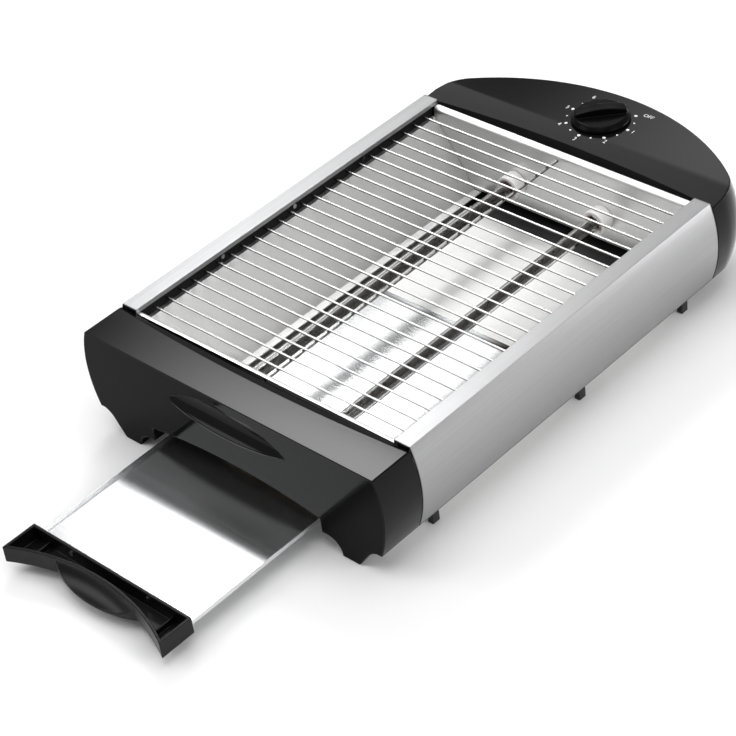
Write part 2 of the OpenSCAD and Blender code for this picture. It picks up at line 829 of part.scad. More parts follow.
module right_wire_rail() {
    placed() color("#141414") wire_rail();
}

module rail_rivets() {
    tail_x = refl_out + refl_t;
    placed() color("silver") both_sides() for (y = rivet_places)
        translate([0, y, rivet_z]) rotate([0, 90, 0]) {
            translate([0, 0, rail_x - rivet_head_h])
                cylinder(h = rivet_head_h, d = rivet_head_d, $fn = 24);
            translate([0, 0, rail_x - eps])
                cylinder(h = tail_x - rail_x + 2 * eps, d = rivet_d, $fn = 24);
            translate([0, 0, tail_x]) cylinder(h = rivet_head_h, d = rivet_head_d, $fn = 24);
        }
}

module grille_wires() {
    placed() color("gainsboro") for (y = wire_places)
        translate([-wire_half, y, wire_z]) rotate([0, 90, 0])
            cylinder(h = 2 * wire_half, d = wire_d, $fn = 24);
}

module grille_spine() {
    reach = end_y + spine_out;
    placed() color("gainsboro") translate([0, -reach, spine_z]) rotate([-90, 0, 0])
        cylinder(h = 2 * reach, d = spine_d, $fn = 24);
}

module quartz_tube(side) {
    translate([side * heater_x, -tube_half, heater_z]) rotate([-90, 0, 0]) difference() {
        cylinder(h = 2 * tube_half, d = tube_d);
        translate([0, 0, -1]) cylinder(h = 2 * tube_half + 2, d = tube_d - 2 * tube_wall);
    }
}

module left_quartz_tube() {
    placed() color("lightgrey", 0.4) quartz_tube(-1);
}

module right_quartz_tube() {
    placed() color("lightgrey", 0.4) quartz_tube(1);
}

// Centre line of a coil along Y, and one ring of its wire at each step
coil_rings = 8;
coil_sides = 6;
coil_steps = coil_turns * coil_rings;
coil_pitch = 2 * coil_half / coil_turns;
function coil_point(k) = let (turn = 360 * k / coil_rings)
    [coil_r * cos(turn), coil_pitch * k / coil_rings - coil_half, coil_r * sin(turn)];
coil_rise = atan2(coil_pitch, 2 * PI * coil_r);
function coil_ring(k) = let (turn = 360 * k / coil_rings, out = [cos(turn), 0, sin(turn)],
        up = [sin(turn) * sin(coil_rise), cos(coil_rise), -cos(turn) * sin(coil_rise)])
    [for (j = [0 : coil_sides - 1]) let (a = 360 * j / coil_sides)
        coil_point(k) + coil_wire / 2 * (cos(a) * out + sin(a) * up)];
coil_gap_found = min([for (k = [0 : coil_rings]) for (m = [coil_rings - 2 : coil_rings + 2])
    norm(coil_point(k + m) - coil_point(k))]) - coil_wire;
echo(least_gap_between_curls = coil_gap_found);

module heating_coil(side) {
    points = [for (k = [0 : coil_steps]) each coil_ring(k)];
    last = coil_steps * coil_sides;
    faces = concat(
        [for (k = [0 : coil_steps - 1]) for (j = [0 : coil_sides - 1])
            let (a = k * coil_sides + j, b = k * coil_sides + (j + 1) % coil_sides)
            each [[a, b, a + coil_sides], [b, b + coil_sides, a + coil_sides]]],
        [for (j = [1 : coil_sides - 2]) [0, j + 1, j]],
        [for (j = [1 : coil_sides - 2]) [last, last + j, last + j + 1]]);
    translate([side * heater_x, 0, heater_z]) polyhedron(points, faces);
}

module left_heating_coil() {
    placed() color("#4a4440") heating_coil(-1);
}

module right_heating_coil() {
    placed() color("#4a4440") heating_coil(1);
}

// Steatite holder: a disc inside the chamber, a neck through the end sheet and a stepped bore
module ceramic_holder() {
    socket = tube_half - disc_y + seam;
    length = end_y - seam - disc_y + neck_l;
    rotate([-90, 0, 0]) difference() {
        union() {
            cylinder(h = ceramic_t, d = ceramic_d);
            cylinder(h = length, d = neck_d);
        }
        translate([0, 0, -1]) cylinder(h = socket + 1, d = tube_d + loose_fit);
        translate([0, 0, socket - 1]) cylinder(h = length, d = pin_d + close_fit);
    }
}

module heater_ends() {
    for (x = [-heater_x, heater_x]) {
        translate([x, disc_y, heater_z]) children();
        mirror([0, 1, 0]) translate([x, disc_y, heater_z]) children();
    }
}

module ceramic_holders() {
    placed() color("#f2efe8") heater_ends() ceramic_holder();
}

pin_end = end_y - seam + neck_l + pin_out;

module terminal_pins() {
    head_d = 2 * coil_r - coil_wire - loose_fit;
    placed() color("silver") heater_ends() rotate([-90, 0, 0]) {
        translate([0, 0, -pin_head_l]) cylinder(h = pin_head_l, d = head_d, $fn = 32);
        translate([0, 0, -eps]) cylinder(h = pin_end - disc_y, d = pin_d, $fn = 32);
    }
}

// Flat strip that joins the two heaters behind the tray end's cap
module series_link() {
    place = -(end_y - seam + neck_l + link_out);
    placed() color("#b89a5a") difference() {
        along_y(place - link_t, place) {
            translate([-heater_x, heater_z - link_h / 2]) square([2 * heater_x, link_h]);
            for (side = [-1, 1]) translate([side * heater_x, heater_z]) circle(d = link_h);
        }
        for (side = [-1, 1])
            translate([side * heater_x, place - link_t - 1, heater_z]) rotate([-90, 0, 0])
                cylinder(h = link_t + 2, d = pin_d + close_fit, $fn = 32);
    }
}

block_x = -heater_x;
block_y = axis_y - block_in;

// One lead with a single bend: from a start, along one axis, then along another to its end
module lead(start, bend, finish) {
    module run(from, to) {
        step = to - from;
        translate(from) rotate([0, acos(step[2] / norm(step)), atan2(step[1], step[0])])
            cylinder(h = norm(step), d = lead_d, $fn = 32);
    }
    run(start, bend);
    translate(bend) sphere(d = lead_d, $fn = 32);
    run(bend, finish);
}

module lead_wires() {
    start_y = pin_end + seam;
    block_top = pan_z + block_h + 2 * seam;
    timer_side = timer_w / 2 + seam;
    low_z = pan_z + block_h / 2;
    timer_low = timer_top - timer_h - seam;
    placed() color("#8f2f2a") {
        lead([block_x, start_y, heater_z], [block_x, block_y, heater_z], [block_x, block_y, block_top]);
        lead([heater_x, start_y, heater_z], [heater_x, axis_y, heater_z],
            [timer_side, axis_y, heater_z]);
        lead([block_x + block_w / 2 + seam, block_y, low_z], [0, block_y, low_z],
            [0, block_y, timer_low]);
    }
}

module terminal_block() {
    placed() color("#d9d6cc") difference() {
        translate([block_x - block_w / 2, block_y - block_d / 2, pan_z + seam])
            cube([block_w, block_d, block_h]);
        for (side = [-1, 1])
            translate([block_x + side * block_w / 4, block_y - block_d / 4, pan_z + block_h - socket_l])
                cylinder(h = socket_l + 1, d = socket_d);
    }
}

module timer_case() {
    placed() color("#3a3b3d") translate([0, axis_y, 0]) difference() {
        union() {
            translate([-timer_w / 2, -timer_l / 2, timer_top - timer_h])
                cube([timer_w, timer_l, timer_h]);
            translate([0, 0, timer_top - eps]) cylinder(h = cap_wall, d = bush_d);
        }
        translate([0, 0, timer_top - timer_h / 2]) cylinder(h = timer_h, d = shaft_d + 2 * shaft_gap);
        for (side = [-1, 1])
            translate([side * timer_screw_x, 0, timer_top - timer_screw_l - 1])
                cylinder(h = timer_screw_l + 2, d = timer_screw_d + close_fit);
    }
}

module timer_screws() {
    low = timer_top - timer_screw_l;
    placed() color("silver") for (side = [-1, 1]) translate([side * timer_screw_x, axis_y, 0]) {
        translate([0, 0, cap_top - timer_head_h]) cylinder(h = timer_head_h, d = timer_head_d, $fn = 32);
        translate([0, 0, low]) cylinder(h = cap_top - low, d = timer_screw_d, $fn = 32);
    }
}

// Round bush with a flange inside and outside the wall
module cord_gland() {
    wall_in = cap_wall + 1;
    placed() color("#101010") translate([0, gland_y + gland_t, mid_z]) rotate([90, 0, 0]) difference() {
        union() {
            cylinder(h = gland_t, d = gland_flange);
            cylinder(h = gland_t + wall_in + gland_t, d = gland_neck);
            translate([0, 0, gland_t + wall_in]) cylinder(h = gland_t, d = gland_flange);
        }
        translate([0, 0, -1]) cylinder(h = 3 * gland_t + wall_in + 2, d = gland_bore);
    }
}

// Two angles on the pan that guide the tray's edges
module tray_guides() {
    inner = tray_half + slide_gap;
    front_end = guide_in - panel_y;
    placed() color(steel) along_y(front_end, pan_rear - 1) both_sides() {
        translate([inner, pan_z]) square([pan_t, refl_low - pan_z - seam]);
        translate([inner, pan_z]) square([guide_leg, pan_t]);
    }
}

module side_feet() {
    placed() color("#121212") both_sides() for (y = side_foot_places) translate([side_foot_x, y, 0]) {
        translate([-side_foot_w / 2, -side_foot_l / 2, 0])
            cube([side_foot_w, side_foot_l, pan_flange_z]);
        cylinder(h = skirt_z + peg_up, d = peg_d);
    }
}

// Pan-head screw whose head's upper face is at the origin
module base_screw() {
    translate([0, 0, -screw_head_h]) {
        cylinder(h = screw_head_h, d = screw_head_d, $fn = 32);
        cylinder(h = screw_head_h + screw_l, d = screw_d - close_fit, $fn = 32);
    }
}

module base_screws() {
    placed() color("silver") both_sides() {
        translate([front_boss[0], front_boss[1], pan_flange_z]) base_screw();
        translate([rear_screw_x, rear_screw_y, pan_z - base_t - foot_floor]) base_screw();
    }
}

// Flat sheet with low upturned sides and rear lip, and a front flange for the handle
module tray_sheet() {
    front = handle_back + seam;
    placed() color("#d3d4d6") {
        along_y(front, tray_end) both_sides() {
            translate([0, tray_z - tray_t]) square([tray_half, tray_t]);
            translate([tray_half - tray_t, tray_z - tray_t]) square([tray_t, tray_t + tray_side]);
        }
        translate([-tray_half, tray_end - tray_t, tray_z - eps]) cube([2 * tray_half, tray_t, tray_lip]);
        difference() {
            translate([-tray_half, front, tray_z - eps])
                cube([2 * tray_half, tray_t, handle_top - tray_z - 1]);
            for (side = [-1, 1]) translate([side * tray_rivet_x, front - 1, tray_rivet_z])
                rotate([-90, 0, 0]) cylinder(h = tray_t + 2, d = rivet_d + close_fit, $fn = 32);
        }
    }
}

tray_rivet_z = (tray_z + handle_top) / 2;

// Plan of the handle, drawn in from its ends, less an inset all round
module handle_plan(inset = 0) {
    difference() {
        translate([inset - handle_half, handle_y + inset])
            square([2 * (handle_half - inset), handle_d - 2 * inset]);
        translate([0, handle_mid - handle_r]) circle(handle_r + inset, $fn = fine);
    }
}

// Finger lip that flares out of the front wall, dished like the inside of a bowl
module handle_flare() {
    start = [handle_r + handle_wall / 4, handle_top - flare_rim];
    finish = [handle_r - flare_out, handle_z + flare_edge];
    difference() {
        translate([0, 0, handle_z]) linear_extrude(handle_h - flare_rim) intersection() {
            translate([0, handle_mid - handle_r]) circle(handle_r + handle_wall / 2, $fn = fine);
            translate([0, handle_mid - flare_out + flare_r]) circle(flare_r, $fn = fine);
        }
        translate([0, handle_mid - handle_r, 0]) rotate_extrude($fn = fine)
            translate(hollow_centre(start, finish, flare_scoop))
                circle(hollow_r(start, finish, flare_scoop), $fn = fine);
    }
}

module tray_handle() {
    placed() color(plastic) difference() {
        union() {
            difference() {
                translate([0, 0, handle_z]) linear_extrude(handle_h) handle_plan();
                translate([0, 0, handle_z + handle_wall])
                    linear_extrude(handle_h) handle_plan(handle_wall);
            }
            handle_flare();
            intersection() {
                translate([0, 0, handle_z]) linear_extrude(handle_h / 2) handle_plan(handle_wall / 2);
                both_sides() translate([rib_x, handle_y, handle_z]) cube([rib_t, handle_d, handle_h]);
            }
        }
        for (side = [-1, 1]) translate([side * tray_rivet_x, handle_back - handle_wall - 1, tray_rivet_z])
            rotate([-90, 0, 0]) cylinder(h = handle_wall + 2, d = rivet_d + close_fit, $fn = 32);
    }
}

module tray_rivets() {
    grip_l = handle_wall + seam + tray_t;
    start = handle_back - handle_wall - rivet_head_h;
    placed() color("silver") for (side = [-1, 1])
        translate([side * tray_rivet_x, start, tray_rivet_z]) rotate([-90, 0, 0]) {
            cylinder(h = rivet_head_h, d = rivet_head_d, $fn = 32);
            cylinder(h = grip_l + 2 * rivet_head_h, d = rivet_d, $fn = 32);
            translate([0, 0, rivet_head_h + grip_l])
                cylinder(h = rivet_head_h, d = rivet_head_d, $fn = 32);
        }
}

// Round skirt with a chamfered rim and a raised grip bar with a domed top
module timer_knob() {
    skirt_r = knob_d / 2;
    bar_top = knob_t + bar_h;
    placed() color("#111112") translate([0, axis_y, knob_z]) rotate([0, 0, knob_angle]) difference() {
        union() {
            rotate_extrude() polygon([[0, 0], [skirt_r, 0], [skirt_r, knob_t - knob_rim],
                [skirt_r - knob_rim, knob_t], [0, knob_t]]);
            intersection() {
                linear_extrude(bar_top) intersection() {
                    circle(skirt_r - knob_rim);
                    square([knob_d, bar_w], center = true);
                }
                translate([0, 0, bar_top - knob_dome]) sphere(r = knob_dome, $fn = fine);
            }
        }
        translate([0, 0, -1]) cylinder(h = knob_t + bar_h / 2 + 1, d = shaft_d + knob_fit);
    }
}

module timer_shaft() {
    low = timer_top - timer_h / 2 + 1;
    placed() color("#9a9a9c") translate([0, axis_y, low])
        cylinder(h = knob_z + knob_t + bar_h / 2 - seam - low, d = shaft_d);
}

front_cap();
rear_cap();
rear_base();
floor_pan();
left_side_panel();
right_side_panel();
left_reflector();
right_reflector();
front_reflector();
rear_reflector();
left_wire_rail();
right_wire_rail();
rail_rivets();
grille_wires();
grille_spine();
left_quartz_tube();
right_quartz_tube();
left_heating_coil();
right_heating_coil();
ceramic_holders();
terminal_pins();
series_link();
lead_wires();
terminal_block();
timer_case();
timer_screws();
cord_gland();
tray_guides();
side_feet();
base_screws();
tray_sheet();
tray_handle();
tray_rivets();
timer_knob();
timer_shaft();
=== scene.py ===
from math import cos, pi, radians, sin

import bmesh
import bpy
from mathutils import Matrix, Vector


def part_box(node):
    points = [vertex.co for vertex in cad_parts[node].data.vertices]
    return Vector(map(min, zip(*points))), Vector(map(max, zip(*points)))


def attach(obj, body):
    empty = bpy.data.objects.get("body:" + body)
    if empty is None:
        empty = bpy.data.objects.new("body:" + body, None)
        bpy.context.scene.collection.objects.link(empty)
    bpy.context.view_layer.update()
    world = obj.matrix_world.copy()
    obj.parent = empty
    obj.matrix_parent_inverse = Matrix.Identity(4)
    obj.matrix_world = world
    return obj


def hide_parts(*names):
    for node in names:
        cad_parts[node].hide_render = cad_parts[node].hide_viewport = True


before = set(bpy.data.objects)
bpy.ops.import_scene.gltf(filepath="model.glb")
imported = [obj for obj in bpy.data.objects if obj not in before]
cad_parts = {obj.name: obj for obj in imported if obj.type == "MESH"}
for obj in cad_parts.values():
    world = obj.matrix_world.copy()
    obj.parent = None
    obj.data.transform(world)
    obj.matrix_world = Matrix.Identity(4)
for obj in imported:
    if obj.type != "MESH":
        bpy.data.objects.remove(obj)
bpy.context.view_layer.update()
scene = bpy.context.scene
scene.view_settings.view_transform = "Standard"

# Camera: the photograph's viewpoint, 1.35 m away over the right corner of the tray end,
# with a long lens and a slight roll. The axes were fitted to the edges of top and tray.
sight = bpy.data.cameras.new("camera")
sight.lens = 114.645
sight.sensor_width = 36
sight.clip_start = 0.05
sight.clip_end = 30
camera = bpy.data.objects.new("camera", sight)
scene.collection.objects.link(camera)
eye = Vector((0.779536, -0.737785, 0.854196))
to_right = Vector((0.735965, 0.668314, -0.108221))
to_top = Vector((-0.354642, 0.516725, 0.779246))
to_back = Vector((0.576702, -0.535118, 0.617304))
camera_turn = Matrix((to_right, to_top, to_back)).transposed().to_4x4()
camera.matrix_world = Matrix.Translation(eye) @ camera_turn
scene.camera = camera


# Studio: a pale floor that keeps the shadow and a dim pale room. A wide soft lamp hangs overhead,
# three smaller ones fill in from the sides, and a softbox stands behind on the left, brighter to
# its right, so that its reflection lies on the tray end's top.
class Signal:
    """A number or colour that varies over a surface. Its operators add Math nodes."""

    def __init__(self, finish, socket):
        self.finish = finish
        self.socket = socket

    def __add__(self, other):
        return self.finish.math("ADD", self, other)

    def __sub__(self, other):
        return self.finish.math("SUBTRACT", self, other)

    def __rsub__(self, other):
        return self.finish.math("SUBTRACT", other, self)

    def __mul__(self, other):
        return self.finish.math("MULTIPLY", self, other)

    def __truediv__(self, other):
        return self.finish.math("DIVIDE", self, other)

    def __pow__(self, other):
        return self.finish.math("POWER", self, other)

    def __abs__(self):
        return self.finish.math("ABSOLUTE", self)

    __radd__ = __add__
    __rmul__ = __mul__


class Finish:
    """A material, or the room's light, with one shader and the nodes that feed it."""

    def __init__(self, name, kind="materials", shader="Principled BSDF", **sockets):
        self.material = getattr(bpy.data, kind).new(name)
        self.material.use_nodes = True
        self.tree = self.material.node_tree
        self.shader = self.tree.nodes[shader]
        self.feed(**sockets)

    def join(self, node, name, value):
        """Sets or links one input, found by its number or by its name among those in use."""
        if isinstance(name, int):
            socket = node.inputs[name]
        else:
            socket = next(s for s in node.inputs if s.enabled and s.name == name)
        if isinstance(value, Signal):
            self.tree.links.new(value.socket, socket)
        else:
            socket.default_value = value

    def feed(self, **sockets):
        for name, value in sockets.items():
            self.join(self.shader, name.replace("_", " "), value)

    def node(self, kind, settings, sockets):
        made = self.tree.nodes.new(kind)
        for name, value in settings.items():
            setattr(made, name, value)
        for name, value in sockets.items():
            self.join(made, name, value)
        return {s.name: Signal(self, s) for s in made.outputs if s.enabled}

    def math(self, operation, *values):
        inputs = dict(enumerate(values))
        return self.node("ShaderNodeMath", {"operation": operation}, inputs)["Value"]

    def along(self, axis, space="Object"):
        here = self.node("ShaderNodeTexCoord", {}, {})[space]
        return self.node("ShaderNodeSeparateXYZ", {}, {"Vector": here})[axis]

    def noise(self, scale, detail=2, rough=0.5):
        """Cloudy marks from 0 to 1, about scale of them to the metre along x, y and z."""
        here = self.node("ShaderNodeTexCoord", {}, {})["Object"]
        spot = self.node("ShaderNodeMapping", {}, {"Vector": here, "Scale": scale})["Vector"]
        sockets = {"Vector": spot, "Scale": 1.0, "Detail": detail, "Roughness": rough}
        return self.node("ShaderNodeTexNoise", {}, sockets)["Fac"]

    def ramp(self, value, low, high):
        return self.node("ShaderNodeMapRange", {"interpolation_type": "SMOOTHSTEP"},
                         {"Value": value, "From Min": low, "From Max": high})["Result"]

    def mix(self, share, first, second):
        return self.node("ShaderNodeMix", {"data_type": "RGBA"},
                         {"Factor": share, "A": first, "B": second})["Result"]

    def mottle(self, marks, dark, light, smooth, rough):
        """Lets the same marks vary the colour and the roughness."""
        self.feed(Base_Color=self.mix(marks, dark, light),
                  Roughness=smooth + (rough - smooth) * marks)

    def bump(self, height, depth):
        sockets = {"Height": height, "Distance": depth, "Strength": 1.0}
        self.feed(Normal=self.node("ShaderNodeBump", {}, sockets)["Normal"])


def grey(level):
    return level, level, level, 1


def settle(bm, name, finish):
    """Makes a finished bmesh an object of one material."""
    mesh = bpy.data.meshes.new(name)
    bm.to_mesh(mesh)
    bm.free()
    mesh.materials.append(finish.material)
    made = bpy.data.objects.new(name, mesh)
    scene.collection.objects.link(made)
    return made


paper = Finish("studio_floor", Roughness=0.9, Specular_IOR_Level=0.0)
paper.feed(Base_Color=paper.mix(paper.noise((40, 40, 40), 3), grey(0.95), grey(0.97)))
bm = bmesh.new()
bmesh.ops.create_grid(bm, x_segments=1, y_segments=1, size=6)
settle(bm, "studio_floor", paper)

room = Finish("room", "worlds", "Background", Strength=1.0)
toward_camera = 0.73 * room.along("X", "Generated") - 0.68 * room.along("Y", "Generated")
room_front = room.ramp(toward_camera, -0.1, 0.8)
room.feed(Color=room.mix(room_front, grey(0.52), grey(0.16)))
scene.world = room.material


def lamp(name, place, aim, size, watts):
    light = bpy.data.lights.new(name, "AREA")
    light.shape = "RECTANGLE"
    light.size, light.size_y = size
    light.energy = watts
    made = bpy.data.objects.new(name, light)
    scene.collection.objects.link(made)
    turn = (Vector(aim) - Vector(place)).to_track_quat("-Z", "Y").to_matrix().to_4x4()
    made.matrix_world = Matrix.Translation(place) @ turn


lamp("overhead", (0.0, -0.1, 1.9), (0, 0, 0), (1.6, 1.6), 16)
lamp("right_fill", (1.5, 0.15, 1.0), (0.1, 0, 0.04), (0.9, 0.7), 9)
lamp("left_front", (-1.15, -1.2, 1.25), (0, -0.2, 0.02), (0.9, 0.9), 8)
lamp("rear_right_low", (0.95, 1.3, 0.14), (0.1, 0.15, 0.05), (0.6, 0.2), 8)

box_cloth = Finish("softbox_cloth", Base_Color=grey(0), Specular_IOR_Level=0.0,
                   Emission_Strength=17.0)
box_x, box_y = box_cloth.along("X"), box_cloth.along("Y")
past_edge = box_cloth.ramp(box_y, 0.28, 0.42)
past_strip = box_cloth.ramp(box_y, 0.525, 0.58)
past_wide = box_cloth.ramp(box_y, 1.02, 1.12)
box_strip = box_cloth.ramp(box_x, -1.04, -0.54) * past_edge * (1 - past_strip)
box_wide = 0.10 * past_strip * (1 - past_wide)
box_rear = (0.01 + 0.15 * box_cloth.ramp(box_x, -0.95, -0.58)) * past_wide
box_light = box_strip + box_wide + box_rear
box_cloth.feed(Emission_Color=box_cloth.mix(box_light, grey(0), grey(1)))
box_place = Matrix.Translation((-0.76, 0.81, 0.854))
box_narrow = Matrix.Scale(0.6, 4, (1, 0, 0))
bm = bmesh.new()
bmesh.ops.create_grid(bm, x_segments=1, y_segments=1, size=0.55, matrix=box_place @ box_narrow)
settle(bm, "softbox", box_cloth)


# Floor pan: a shallow channel of bright sheet under the heaters, folded up at its sides and
# screwed under the caps, with the tray's guides on it. Its rolled surface is slightly wavy, so
# reflections in it swim.
def piece(bm, name, finish, slot, body, *nodes):
    """Turns a finished bmesh into a piece that rides on a body and stands for some solids."""
    for face in bm.faces:
        face.smooth = True
    made = settle(bm, name, finish)
    even = made.modifiers.new("even_normals", "WEIGHTED_NORMAL")
    even.keep_sharp = True
    even.weight = 100
    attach(made, body)
    if nodes:
        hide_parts(*nodes)
    return made


def skin(node, finish, slot, body="housing", edge=0.0, segments=2, flat=1.0, fillets=True):
    """Merged copy of a solid, with smooth curves and its sharp edges rounded by edge. Inner
    corners stay crisp without fillets, and so does a slight fold beside a face larger than
    flat, in square metres."""
    level, slight, sharp = radians(0.2), radians(2.5), radians(32)
    bm = bmesh.new()
    bm.from_mesh(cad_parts[node].data)
    bmesh.ops.remove_doubles(bm, verts=bm.verts, dist=2e-6)
    bmesh.ops.dissolve_limit(bm, angle_limit=level, verts=bm.verts, edges=bm.edges)
    corners = []
    for e in bm.edges:
        turn = e.calc_face_angle(0)
        if turn > sharp:
            if edge and (fillets or e.is_convex):
                corners.append(e)
            else:
                e.smooth = False
        elif turn > slight and max(f.calc_area() for f in e.link_faces) > flat:
            e.smooth = False
    if corners:
        bmesh.ops.bevel(bm, geom=corners, offset=edge, segments=segments, profile=0.5,
                        affect="EDGES", clamp_overlap=False, material=-1)
    return piece(bm, node + "_skin", finish, slot, body, node)


pan_sheet = Finish("pan_sheet", Metallic=1.0)
pan_roll = pan_sheet.noise((900, 14, 900), 3)
pan_sheet.mottle(pan_roll, (0.80, 0.80, 0.79, 1), (0.90, 0.90, 0.89, 1), 0.56, 0.68)
pan_sheet.bump(pan_sheet.noise((16, 7, 16)), 0.0007)
for node in ("floor_pan", "tray_guides"):
    skin(node, pan_sheet, "bright_reflector")

# Rear base, small feet and cord bush: matt black mouldings. The base is screwed on and closes the
# timer end from below, the feet stand under the panels, and the bush lines the cord's hole.
matt = Finish("black_matt", Specular_IOR_Level=0.4)
matt_grain = matt.noise((1400, 1400, 1400))
matt.mottle(matt_grain, (0.010, 0.010, 0.011, 1), (0.018, 0.018, 0.019, 1), 0.42, 0.58)
matt.bump(matt_grain, 0.00005)
for node, edge in (("rear_base", 0.0005), ("side_feet", 0.0004), ("cord_gland", 0.0004)):
    skin(node, matt, "black_matte_plastic", edge=edge)

# Wire rails: two angles of black enamelled sheet under the panels' flanges, pierced for the
# wires and riveted on.
enamel = Finish("black_enamel", Specular_IOR_Level=0.12)
enamel_peel = enamel.noise((500, 500, 500))
enamel.mottle(enamel_peel, grey(0.003), grey(0.007), 0.35, 0.55)
enamel.bump(enamel_peel, 0.00004)
for side in ("left", "right"):
    skin(side + "_wire_rail", enamel, "black_enamelled_steel")

# Side panels: stainless sheet with a swelled face and a flat top flange, brushed lengthwise, with
# painted shade as a dark line along the bottom hem and at the joints with the caps.
brushed = Finish("brushed_steel", Metallic=1.0)
brush_fine = brushed.noise((1500, 7, 1500), 3, 0.6)
brush_wide = brushed.noise((160, 3, 160))
brush_mark = 0.65 * brush_fine + 0.35 * brush_wide
chamber_y = 0.0366
# Painted shade: near black over each panel's bottom 1.5 mm and in a 1 mm band beside each cap.
clear_of_hem_shade = brushed.ramp(brushed.along("Z"), 0.0157, 0.0172)
cap_joint_shade = brushed.ramp(abs(brushed.along("Y") - chamber_y), 0.1309, 0.1319)
brush_tone = brushed.mix(brush_mark, (0.30, 0.30, 0.305, 1), (0.43, 0.43, 0.435, 1))
brushed.feed(Base_Color=brushed.mix(clear_of_hem_shade * (1 - cap_joint_shade), grey(0.03), brush_tone),
             Roughness=0.30 + 0.16 * brush_mark)
brushed.bump(brush_fine, 0.00006)
for side in ("left", "right"):
    skin(side + "_side_panel", brushed, "brushed_stainless", edge=0.0003)

# Reflectors: bright satin sheet folded round the chamber, with a rolled top at each end. The end
# sheets' outer sides, toward the caps, carry painted shade in a near-black colour.
mirror_sheet = Finish("reflector_sheet", Metallic=1.0)
sheet_roll = mirror_sheet.noise((9, 700, 700), 3)
sheet_wave = mirror_sheet.noise((14, 14, 14))
roll_from_middle, roll_z = 0.1300, 0.0645
sheet_out = abs(mirror_sheet.along("Y") - chamber_y) - roll_from_middle
sheet_rise = mirror_sheet.math("MAXIMUM", mirror_sheet.along("Z") - roll_z, 0.0)
from_roll = (sheet_out ** 2 + sheet_rise ** 2) ** 0.5
# Painted shade: the sheet at each end roll and past it, toward the caps, turns near black.
sheet_shade_mask = 1 - mirror_sheet.ramp(from_roll, 0.0026, 0.0028)
sheet_tone = mirror_sheet.mix(sheet_roll, grey(0.78), (0.88, 0.88, 0.87, 1))
sheet_painted_shade = (0.02, 0.018, 0.016, 1)
mirror_sheet.feed(Base_Color=mirror_sheet.mix(sheet_shade_mask, sheet_tone, sheet_painted_shade),
                  Roughness=0.34 + 0.12 * sheet_roll)
mirror_sheet.bump(sheet_wave + 0.03 * sheet_roll, 0.0010)
for side in ("left", "right", "front", "rear"):
    skin(side + "_reflector", mirror_sheet, "bright_reflector")

# Grille: cross wires through the rails with one rod under them, of steel wire, plated bright,
# with painted shade on the lower part of each wire.
for node in ("grille_wires", "grille_spine"):
    wire_low, wire_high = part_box(node)
    wire_plate = Finish(node + "_plating", Metallic=1.0)
    wire_haze = wire_plate.noise((300, 300, 300))
    wire_height = (wire_plate.along("Z") - wire_low.z) / (wire_high.z - wire_low.z)
    # Painted shade: each wire is near black below about three quarters of its height.
    wire_above_shade = wire_plate.ramp(wire_height + 0.2 * wire_haze, 0.72, 0.88)
    wire_tone = wire_plate.mix(wire_haze, (0.56, 0.56, 0.555, 1), (0.70, 0.70, 0.695, 1))
    wire_plate.feed(Base_Color=wire_plate.mix(wire_above_shade, (0.07, 0.065, 0.06, 1), wire_tone),
                    Roughness=0.14 + 0.12 * wire_haze)
    skin(node, wire_plate, "plated_wire")

# Fastenings: the rivets of rails and tray, the screws of timer and base, and the timer's shaft,
# all of steel and plated a little duller than the wires.
plated = Finish("bright_plating", Metallic=1.0)
plate_haze = plated.noise((300, 300, 300))
plated.mottle(plate_haze, (0.30, 0.30, 0.298, 1), (0.42, 0.42, 0.416, 1), 0.12, 0.24)
for node in ("rail_rivets", "timer_screws", "base_screws"):
    skin(node, plated, "plated_wire")
skin("tray_rivets", plated, "plated_wire", "crumb_tray")
skin("timer_shaft", plated, "plated_wire", "timer_dial")

# Heaters: two clear quartz tubes with a dark coil of resistance wire in each, held at their ends
# in white steatite that the heat has scorched brown. A coil is spun for its first turns, and the
# run is then doubled until it fills the tube.
heater_x, heater_z = 0.0337, 0.035
quartz = Finish("clear_quartz", Base_Color=(0.97, 0.97, 0.96, 1), Transmission_Weight=1.0,
                IOR=1.46)
quartz.feed(Roughness=0.01 + 0.04 * quartz.noise((120, 30, 120)))
for side in ("left", "right"):
    skin(side + "_quartz_tube", quartz, "quartz")

oxide = Finish("oxidised_wire", Metallic=0.4)
oxide_spot = oxide.noise((260, 90, 260), 3)
oxide.mottle(oxide_spot, (0.012, 0.009, 0.007, 1), (0.045, 0.032, 0.026, 1), 0.40, 0.65)
coil_low, coil_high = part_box("left_heating_coil")
coil_radius, coil_wire = 0.0026, 0.0010
first_turns, turn_steps, doublings = 12, 12, 4
first_run = (coil_high.y - coil_low.y - coil_wire) / 2 ** doublings
first_steps = first_turns * turn_steps
for side, x in (("left", -heater_x), ("right", heater_x)):
    bm = bmesh.new()
    coil_start = (x + coil_radius, coil_low.y + coil_wire / 2, heater_z)
    bmesh.ops.create_circle(bm, radius=coil_wire / 2, segments=6,
                            matrix=Matrix.Translation(coil_start))
    bmesh.ops.spin(bm, geom=bm.verts[:] + bm.edges[:], cent=(x, 0, heater_z), axis=(0, 1, 0),
                   angle=2 * pi * first_turns, steps=first_steps,
                   dvec=(0, first_run / first_steps, 0))
    for doubling in range(doublings):
        copy = bmesh.ops.duplicate(bm, geom=bm.verts[:] + bm.edges[:] + bm.faces[:])["geom"]
        bmesh.ops.translate(bm, verts=[g for g in copy if isinstance(g, bmesh.types.BMVert)],
                            vec=(0, first_run * 2 ** doubling, 0))
    bmesh.ops.remove_doubles(bm, verts=bm.verts, dist=1e-5)
    bmesh.ops.holes_fill(bm, edges=bm.edges)
    bmesh.ops.recalc_face_normals(bm, faces=bm.faces)
    piece(bm, side + "_coil", oxide, "resistance_wire", "housing", side + "_heating_coil")

